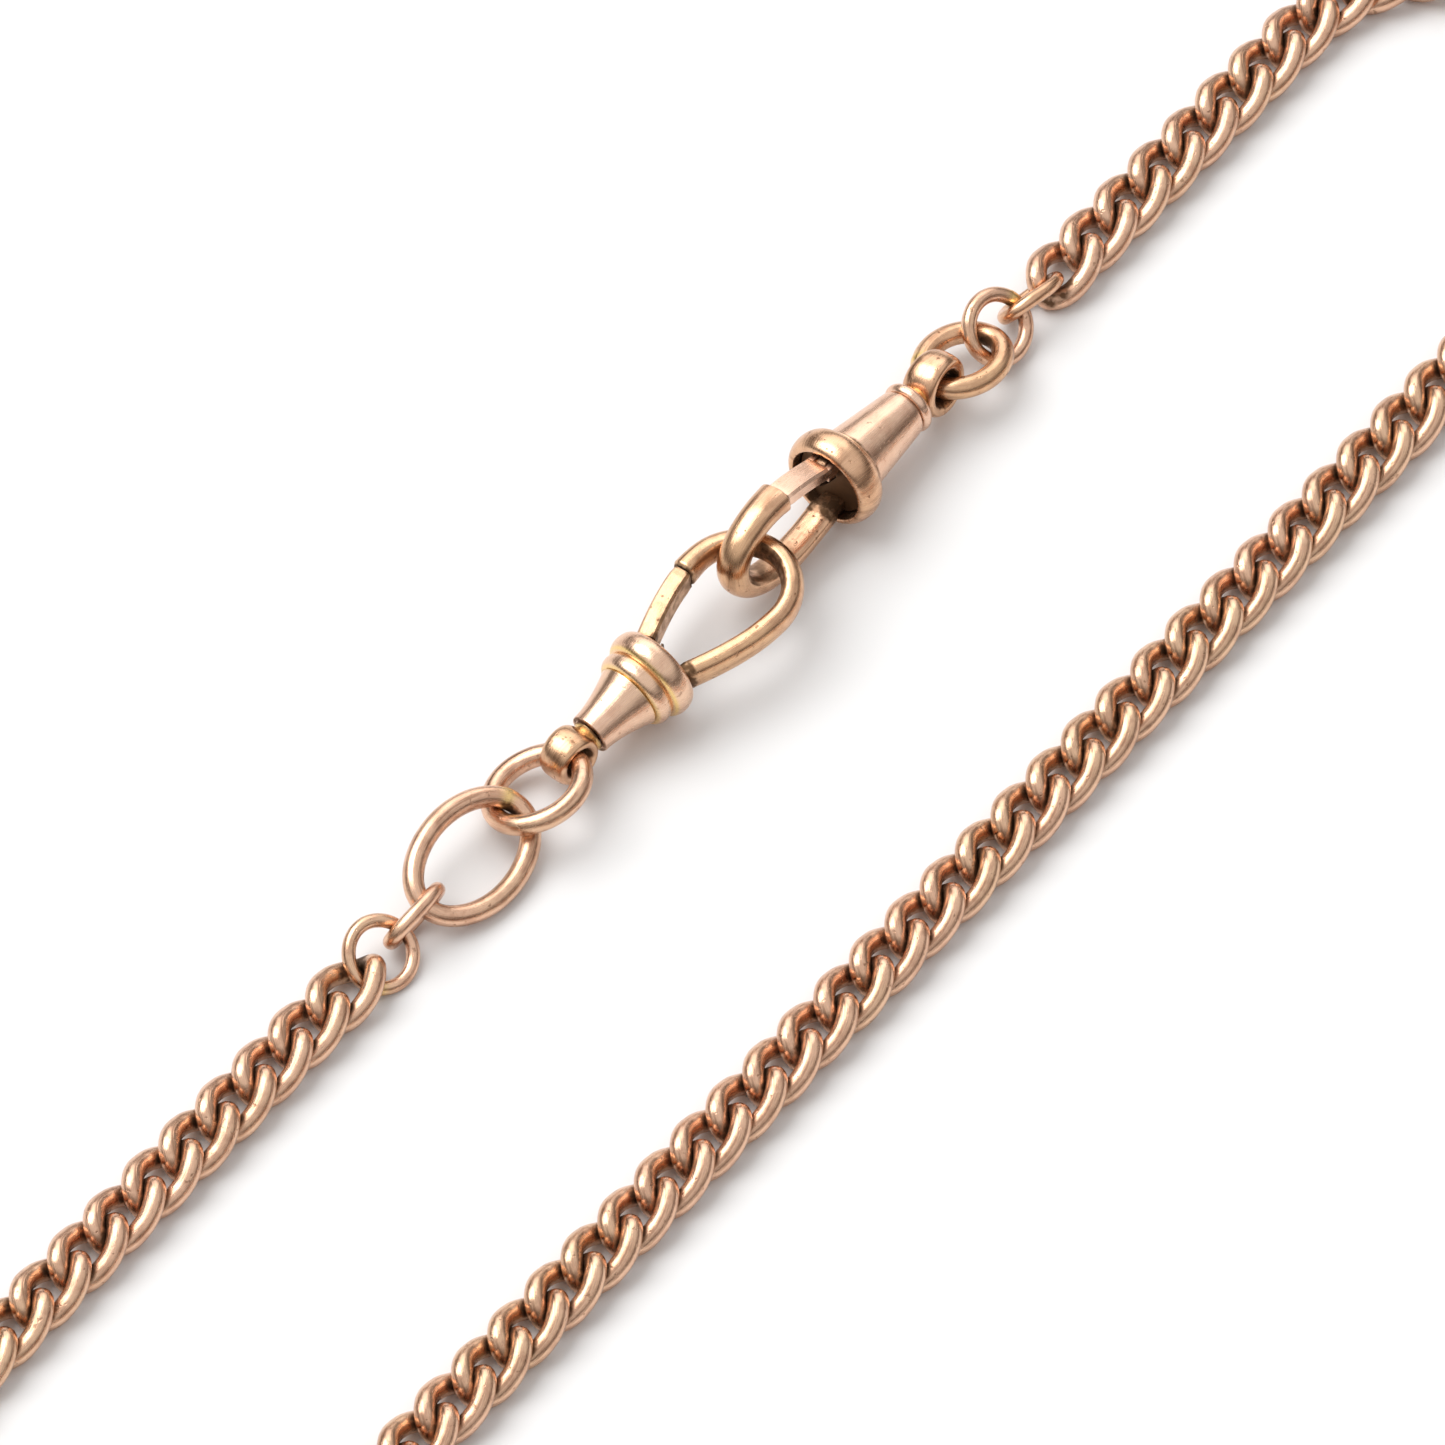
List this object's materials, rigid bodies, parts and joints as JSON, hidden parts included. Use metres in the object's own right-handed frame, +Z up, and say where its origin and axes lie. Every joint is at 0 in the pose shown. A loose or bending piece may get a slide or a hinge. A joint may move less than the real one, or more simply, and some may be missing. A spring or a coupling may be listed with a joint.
{
  "type": "pocket watch chain",
  "caption": "Closed loop of twisted oval curb links in rose gold, with a spring-gate swivel clip at each end hooked into the other, plus plain connecting rings.",
  "frame": {"origin": "middle of the loop's footprint, on the table that the chain lies on", "axes": "+Z up; +X along the strand that carries the clips, from the lower clip to the upper clip; +Y from the plain strand to the clip strand"},
  "size_m": [0.1834, 0.034, 0.0084],
  "materials": {
    "rose_gold": "polished rose gold, worn",
    "clip_gold": "polished rose gold",
    "worn_gold": "worn yellowish rose gold",
    "pin_gold": "dull rose gold",
    "spring_steel": "browned spring leaf"
  },
  "bodies": {
    "upper_clip": {"upper_barrel": "clip_gold", "upper_collar": "worn_gold", "upper_hook": "worn_gold", "upper_gate_pin": "pin_gold", "upper_gate_spring": "spring_steel"},
    "upper_gate": {"upper_gate": "clip_gold"},
    "upper_eye": {"upper_swivel_eye": "worn_gold"},
    "lower_clip": {"lower_barrel": "clip_gold", "lower_collar": "worn_gold", "lower_hook": "worn_gold", "lower_gate_pin": "pin_gold", "lower_gate_spring": "spring_steel"},
    "lower_gate": {"lower_gate": "clip_gold"},
    "lower_eye": {"lower_swivel_eye": "worn_gold"},
    "upper_thick_ring": {"upper_thick_ring": "rose_gold"},
    "upper_small_ring": {"upper_small_ring": "rose_gold"},
    "upper_oval_link": {"upper_oval_link": "rose_gold"},
    "lower_round_ring": {"lower_round_ring": "rose_gold"},
    "lower_oval_ring": {"lower_oval_ring": "rose_gold"},
    "lower_oval_link": {"lower_oval_link": "rose_gold"},
    "lower_small_ring": {"lower_small_ring": "rose_gold"},
    "lower_curb_01": {"lower_curb_01": "rose_gold"},
    "lower_curb_02": {"lower_curb_02": "rose_gold"},
    "lower_curb_03": {"lower_curb_03": "rose_gold"},
    "lower_curb_04": {"lower_curb_04": "rose_gold"},
    "lower_curb_05": {"lower_curb_05": "rose_gold"},
    "lower_curb_06": {"lower_curb_06": "rose_gold"},
    "lower_curb_07": {"lower_curb_07": "rose_gold"},
    "lower_curb_08": {"lower_curb_08": "rose_gold"},
    "lower_curb_09": {"lower_curb_09": "rose_gold"},
    "lower_curb_10": {"lower_curb_10": "rose_gold"},
    "lower_curb_11": {"lower_curb_11": "rose_gold"},
    "upper_curb_01": {"upper_curb_01": "rose_gold"},
    "upper_curb_02": {"upper_curb_02": "rose_gold"},
    "upper_curb_03": {"upper_curb_03": "rose_gold"},
    "upper_curb_04": {"upper_curb_04": "rose_gold"},
    "upper_curb_05": {"upper_curb_05": "rose_gold"},
    "upper_curb_06": {"upper_curb_06": "rose_gold"},
    "upper_curb_07": {"upper_curb_07": "rose_gold"},
    "upper_curb_08": {"upper_curb_08": "rose_gold"},
    "upper_curb_09": {"upper_curb_09": "rose_gold"},
    "upper_curb_10": {"upper_curb_10": "rose_gold"},
    "upper_curb_11": {"upper_curb_11": "rose_gold"},
    "upper_curb_12": {"upper_curb_12": "rose_gold"},
    "upper_curb_13": {"upper_curb_13": "rose_gold"},
    "upper_curb_14": {"upper_curb_14": "rose_gold"},
    "upper_curb_15": {"upper_curb_15": "rose_gold"},
    "upper_curb_16": {"upper_curb_16": "rose_gold"},
    "upper_curb_17": {"upper_curb_17": "rose_gold"},
    "upper_curb_18": {"upper_curb_18": "rose_gold"},
    "upper_curb_19": {"upper_curb_19": "rose_gold"},
    "upper_curb_20": {"upper_curb_20": "rose_gold"},
    "upper_curb_21": {"upper_curb_21": "rose_gold"},
    "upper_curb_22": {"upper_curb_22": "rose_gold"},
    "upper_curb_23": {"upper_curb_23": "rose_gold"},
    "upper_curb_24": {"upper_curb_24": "rose_gold"},
    "upper_curb_25": {"upper_curb_25": "rose_gold"},
    "upper_curb_26": {"upper_curb_26": "rose_gold"},
    "upper_curb_27": {"upper_curb_27": "rose_gold"}
  },
  "joints": [
    {"name": "upper_gate_hinge", "type": "hinge", "parent": "upper_clip", "child": "upper_gate", "pos_m": [0.01944, 0.01348, 0.00628], "axis": [0.0121, -0.9848, 0.1732], "range_deg": [0, 22], "stiffness_Nm_per_rad": 0.004, "deforming": ["upper_gate_spring"]},
    {"name": "upper_swivel", "type": "hinge", "parent": "upper_clip", "child": "upper_eye", "pos_m": [0.02923, 0.01314, 0.00362], "axis": [-0.9976, 0, 0.0698], "continuous": true},
    {"name": "lower_gate_hinge", "type": "hinge", "parent": "lower_clip", "child": "lower_gate", "pos_m": [-0.00022, 0.01428, 0.004], "axis": [0.1043, -0.0064, -0.9945], "range_deg": [0, 22], "stiffness_Nm_per_rad": 0.004, "deforming": ["lower_gate_spring"]},
    {"name": "lower_swivel", "type": "hinge", "parent": "lower_clip", "child": "lower_eye", "pos_m": [-0.00772, 0.01299, 0.00322], "axis": [0.9927, -0.0607, 0.1045], "continuous": true},
    {"name": "clip_rock", "type": "hinge", "parent": "upper_clip", "child": "lower_clip", "pos_m": [0.01103, 0.01334, 0.00518], "axis": [0.061, 0.9981, 0], "range_deg": [-12, 30]},
    {"name": "upper_thick_ring_swing", "type": "hinge", "parent": "upper_eye", "child": "upper_thick_ring", "pos_m": [0.03185, 0.01314, 0.00322], "axis": [0.0216, -0.9848, 0.1723], "range_deg": [-20, 20]},
    {"name": "upper_small_ring_swing", "type": "hinge", "parent": "upper_thick_ring", "child": "upper_small_ring", "pos_m": [0.03664, 0.01314, 0.00242], "axis": [-0.0134, 0.7431, 0.669], "range_deg": [-20, 20]},
    {"name": "upper_oval_link_swing", "type": "hinge", "parent": "upper_small_ring", "child": "upper_oval_link", "pos_m": [0.04044, 0.01314, 0.00252], "axis": [-0.1626, 0.5736, -0.8028], "range_deg": [-20, 20]},
    {"name": "lower_round_ring_swing", "type": "hinge", "parent": "lower_eye", "child": "lower_round_ring", "pos_m": [-0.00992, 0.01314, 0.00297], "axis": [0.032, 0.9135, -0.4055], "range_deg": [-20, 20]},
    {"name": "lower_oval_ring_swing", "type": "hinge", "parent": "lower_round_ring", "child": "lower_oval_ring", "pos_m": [-0.01528, 0.01314, 0.00242], "axis": [0, -0.8988, -0.4384], "range_deg": [-20, 20]},
    {"name": "lower_oval_link_swing", "type": "hinge", "parent": "lower_oval_ring", "child": "lower_oval_link", "pos_m": [-0.02448, 0.01314, 0.00242], "axis": [-0.0737, -0.342, 0.9368], "range_deg": [-20, 20]},
    {"name": "lower_small_ring_swing", "type": "hinge", "parent": "lower_oval_link", "child": "lower_small_ring", "pos_m": [-0.02833, 0.01314, 0.00202], "axis": [0.0612, -0.829, -0.5558], "range_deg": [-20, 20]},
    {"name": "lower_curb_01_rock", "type": "hinge", "parent": "lower_small_ring", "child": "lower_curb_01", "pos_m": [-0.03185, 0.01314, 0.00149], "axis": [0, 0.6157, -0.788], "range_deg": [-18, 18]},
    {"name": "lower_curb_02_rock", "type": "hinge", "parent": "lower_curb_01", "child": "lower_curb_02", "pos_m": [-0.03731, 0.01314, 0.00149], "axis": [0, 0.6157, 0.788], "range_deg": [-18, 18]},
    {"name": "lower_curb_03_rock", "type": "hinge", "parent": "lower_curb_02", "child": "lower_curb_03", "pos_m": [-0.03985, 0.01314, 0.00149], "axis": [0, -0.6157, 0.788], "range_deg": [-18, 18]},
    {"name": "lower_curb_04_rock", "type": "hinge", "parent": "lower_curb_03", "child": "lower_curb_04", "pos_m": [-0.04531, 0.01314, 0.00149], "axis": [0, -0.6157, -0.788], "range_deg": [-18, 18]},
    {"name": "lower_curb_05_rock", "type": "hinge", "parent": "lower_curb_04", "child": "lower_curb_05", "pos_m": [-0.04785, 0.01314, 0.00149], "axis": [0, 0.6157, -0.788], "range_deg": [-18, 18]},
    {"name": "lower_curb_06_rock", "type": "hinge", "parent": "lower_curb_05", "child": "lower_curb_06", "pos_m": [-0.05331, 0.01314, 0.00149], "axis": [0, 0.6157, 0.788], "range_deg": [-18, 18]},
    {"name": "lower_curb_07_rock", "type": "hinge", "parent": "lower_curb_06", "child": "lower_curb_07", "pos_m": [-0.05585, 0.01314, 0.00149], "axis": [0, -0.6157, 0.788], "range_deg": [-18, 18]},
    {"name": "lower_curb_08_rock", "type": "hinge", "parent": "lower_curb_07", "child": "lower_curb_08", "pos_m": [-0.06131, 0.01314, 0.00149], "axis": [0, -0.6157, -0.788], "range_deg": [-18, 18]},
    {"name": "lower_curb_09_rock", "type": "hinge", "parent": "lower_curb_08", "child": "lower_curb_09", "pos_m": [-0.06385, 0.01314, 0.00149], "axis": [0, 0.6157, -0.788], "range_deg": [-18, 18]},
    {"name": "lower_curb_10_rock", "type": "hinge", "parent": "lower_curb_09", "child": "lower_curb_10", "pos_m": [-0.06931, 0.01314, 0.00149], "axis": [0, 0.6157, 0.788], "range_deg": [-18, 18]},
    {"name": "lower_curb_11_rock", "type": "hinge", "parent": "lower_curb_10", "child": "lower_curb_11", "pos_m": [-0.07185, 0.01314, 0.00149], "axis": [0, -0.6157, 0.788], "range_deg": [-6, 6]},
    {"name": "upper_curb_01_rock", "type": "hinge", "parent": "upper_oval_link", "child": "upper_curb_01", "pos_m": [0.04426, 0.01314, 0.00149], "axis": [0, 0.6157, 0.788], "range_deg": [-18, 18]},
    {"name": "upper_curb_02_rock", "type": "hinge", "parent": "upper_curb_01", "child": "upper_curb_02", "pos_m": [0.04972, 0.01314, 0.00149], "axis": [0, 0.6157, -0.788], "range_deg": [-18, 18]},
    {"name": "upper_curb_03_rock", "type": "hinge", "parent": "upper_curb_02", "child": "upper_curb_03", "pos_m": [0.05226, 0.01314, 0.00149], "axis": [0, -0.6157, -0.788], "range_deg": [-18, 18]},
    {"name": "upper_curb_04_rock", "type": "hinge", "parent": "upper_curb_03", "child": "upper_curb_04", "pos_m": [0.05772, 0.01314, 0.00149], "axis": [0, -0.6157, 0.788], "range_deg": [-18, 18]},
    {"name": "upper_curb_05_rock", "type": "hinge", "parent": "upper_curb_04", "child": "upper_curb_05", "pos_m": [0.06026, 0.01314, 0.00149], "axis": [0, 0.6157, 0.788], "range_deg": [-18, 18]},
    {"name": "upper_curb_06_rock", "type": "hinge", "parent": "upper_curb_05", "child": "upper_curb_06", "pos_m": [0.06572, 0.01314, 0.00149], "axis": [0, 0.6157, -0.788], "range_deg": [-18, 18]},
    {"name": "upper_curb_07_rock", "type": "hinge", "parent": "upper_curb_06", "child": "upper_curb_07", "pos_m": [0.06826, 0.01314, 0.00149], "axis": [0, -0.6157, -0.788], "range_deg": [-18, 18]},
    {"name": "upper_curb_08_rock", "type": "hinge", "parent": "upper_curb_07", "child": "upper_curb_08", "pos_m": [0.07372, 0.01314, 0.00149], "axis": [0, -0.6157, 0.788], "range_deg": [-6, 6]},
    {"name": "upper_curb_09_rock", "type": "hinge", "parent": "upper_curb_08", "child": "upper_curb_09", "pos_m": [0.07631, 0.01338, 0.00149], "axis": [0.1491, 0.5973, 0.788], "range_deg": [-6, 6]},
    {"name": "upper_curb_10_rock", "type": "hinge", "parent": "upper_curb_09", "child": "upper_curb_10", "pos_m": [0.08762, 0.00672, 0.00149], "axis": [0.4502, 0.4199, -0.788], "range_deg": [-6, 6]},
    {"name": "upper_curb_11_rock", "type": "hinge", "parent": "upper_curb_10", "child": "upper_curb_11", "pos_m": [0.08945, -0.00367, 0.00149], "axis": [-0.5669, 0.24, -0.788], "range_deg": [-6, 6]},
    {"name": "upper_curb_12_rock", "type": "hinge", "parent": "upper_curb_11", "child": "upper_curb_12", "pos_m": [0.08112, -0.01381, 0.00149], "axis": [-0.345, 0.5099, 0.788], "range_deg": [-6, 6]},
    {"name": "upper_curb_13_rock", "type": "hinge", "parent": "upper_curb_12", "child": "upper_curb_13", "pos_m": [0.07059, -0.01466, 0.00149], "axis": [0, -0.6157, 0.788], "range_deg": [-18, 18]},
    {"name": "upper_curb_14_rock", "type": "hinge", "parent": "upper_curb_13", "child": "upper_curb_14", "pos_m": [0.05713, -0.01466, 0.00149], "axis": [0, -0.6157, -0.788], "range_deg": [-18, 18]},
    {"name": "upper_curb_15_rock", "type": "hinge", "parent": "upper_curb_14", "child": "upper_curb_15", "pos_m": [0.04659, -0.01466, 0.00149], "axis": [0, 0.6157, -0.788], "range_deg": [-18, 18]},
    {"name": "upper_curb_16_rock", "type": "hinge", "parent": "upper_curb_15", "child": "upper_curb_16", "pos_m": [0.03313, -0.01466, 0.00149], "axis": [0, 0.6157, 0.788], "range_deg": [-18, 18]},
    {"name": "upper_curb_17_rock", "type": "hinge", "parent": "upper_curb_16", "child": "upper_curb_17", "pos_m": [0.02259, -0.01466, 0.00149], "axis": [0, -0.6157, 0.788], "range_deg": [-18, 18]},
    {"name": "upper_curb_18_rock", "type": "hinge", "parent": "upper_curb_17", "child": "upper_curb_18", "pos_m": [0.00913, -0.01466, 0.00149], "axis": [0, -0.6157, -0.788], "range_deg": [-18, 18]},
    {"name": "upper_curb_19_rock", "type": "hinge", "parent": "upper_curb_18", "child": "upper_curb_19", "pos_m": [-0.00141, -0.01466, 0.00149], "axis": [0, 0.6157, -0.788], "range_deg": [-18, 18]},
    {"name": "upper_curb_20_rock", "type": "hinge", "parent": "upper_curb_19", "child": "upper_curb_20", "pos_m": [-0.01487, -0.01466, 0.00149], "axis": [0, 0.6157, 0.788], "range_deg": [-18, 18]},
    {"name": "upper_curb_21_rock", "type": "hinge", "parent": "upper_curb_20", "child": "upper_curb_21", "pos_m": [-0.02541, -0.01466, 0.00149], "axis": [0, -0.6157, 0.788], "range_deg": [-18, 18]},
    {"name": "upper_curb_22_rock", "type": "hinge", "parent": "upper_curb_21", "child": "upper_curb_22", "pos_m": [-0.03887, -0.01466, 0.00149], "axis": [0, -0.6157, -0.788], "range_deg": [-18, 18]},
    {"name": "upper_curb_23_rock", "type": "hinge", "parent": "upper_curb_22", "child": "upper_curb_23", "pos_m": [-0.04941, -0.01466, 0.00149], "axis": [0, 0.6157, -0.788], "range_deg": [-18, 18]},
    {"name": "upper_curb_24_rock", "type": "hinge", "parent": "upper_curb_23", "child": "upper_curb_24", "pos_m": [-0.06287, -0.01466, 0.00149], "axis": [0, 0.6157, 0.788], "range_deg": [-18, 18]},
    {"name": "upper_curb_25_rock", "type": "hinge", "parent": "upper_curb_24", "child": "upper_curb_25", "pos_m": [-0.07342, -0.01477, 0.00149], "axis": [-0.0274, -0.6151, 0.788], "range_deg": [-6, 6]},
    {"name": "upper_curb_26_rock", "type": "hinge", "parent": "upper_curb_25", "child": "upper_curb_26", "pos_m": [-0.08583, -0.01049, 0.00149], "axis": [-0.3577, -0.5011, -0.788], "range_deg": [-6, 6]},
    {"name": "upper_curb_27_rock", "type": "hinge", "parent": "upper_curb_26", "child": "upper_curb_27", "pos_m": [-0.08969, -0.00067, 0.00149], "axis": [0.6034, -0.1225, -0.788], "range_deg": [-6, 6]}
  ]
}
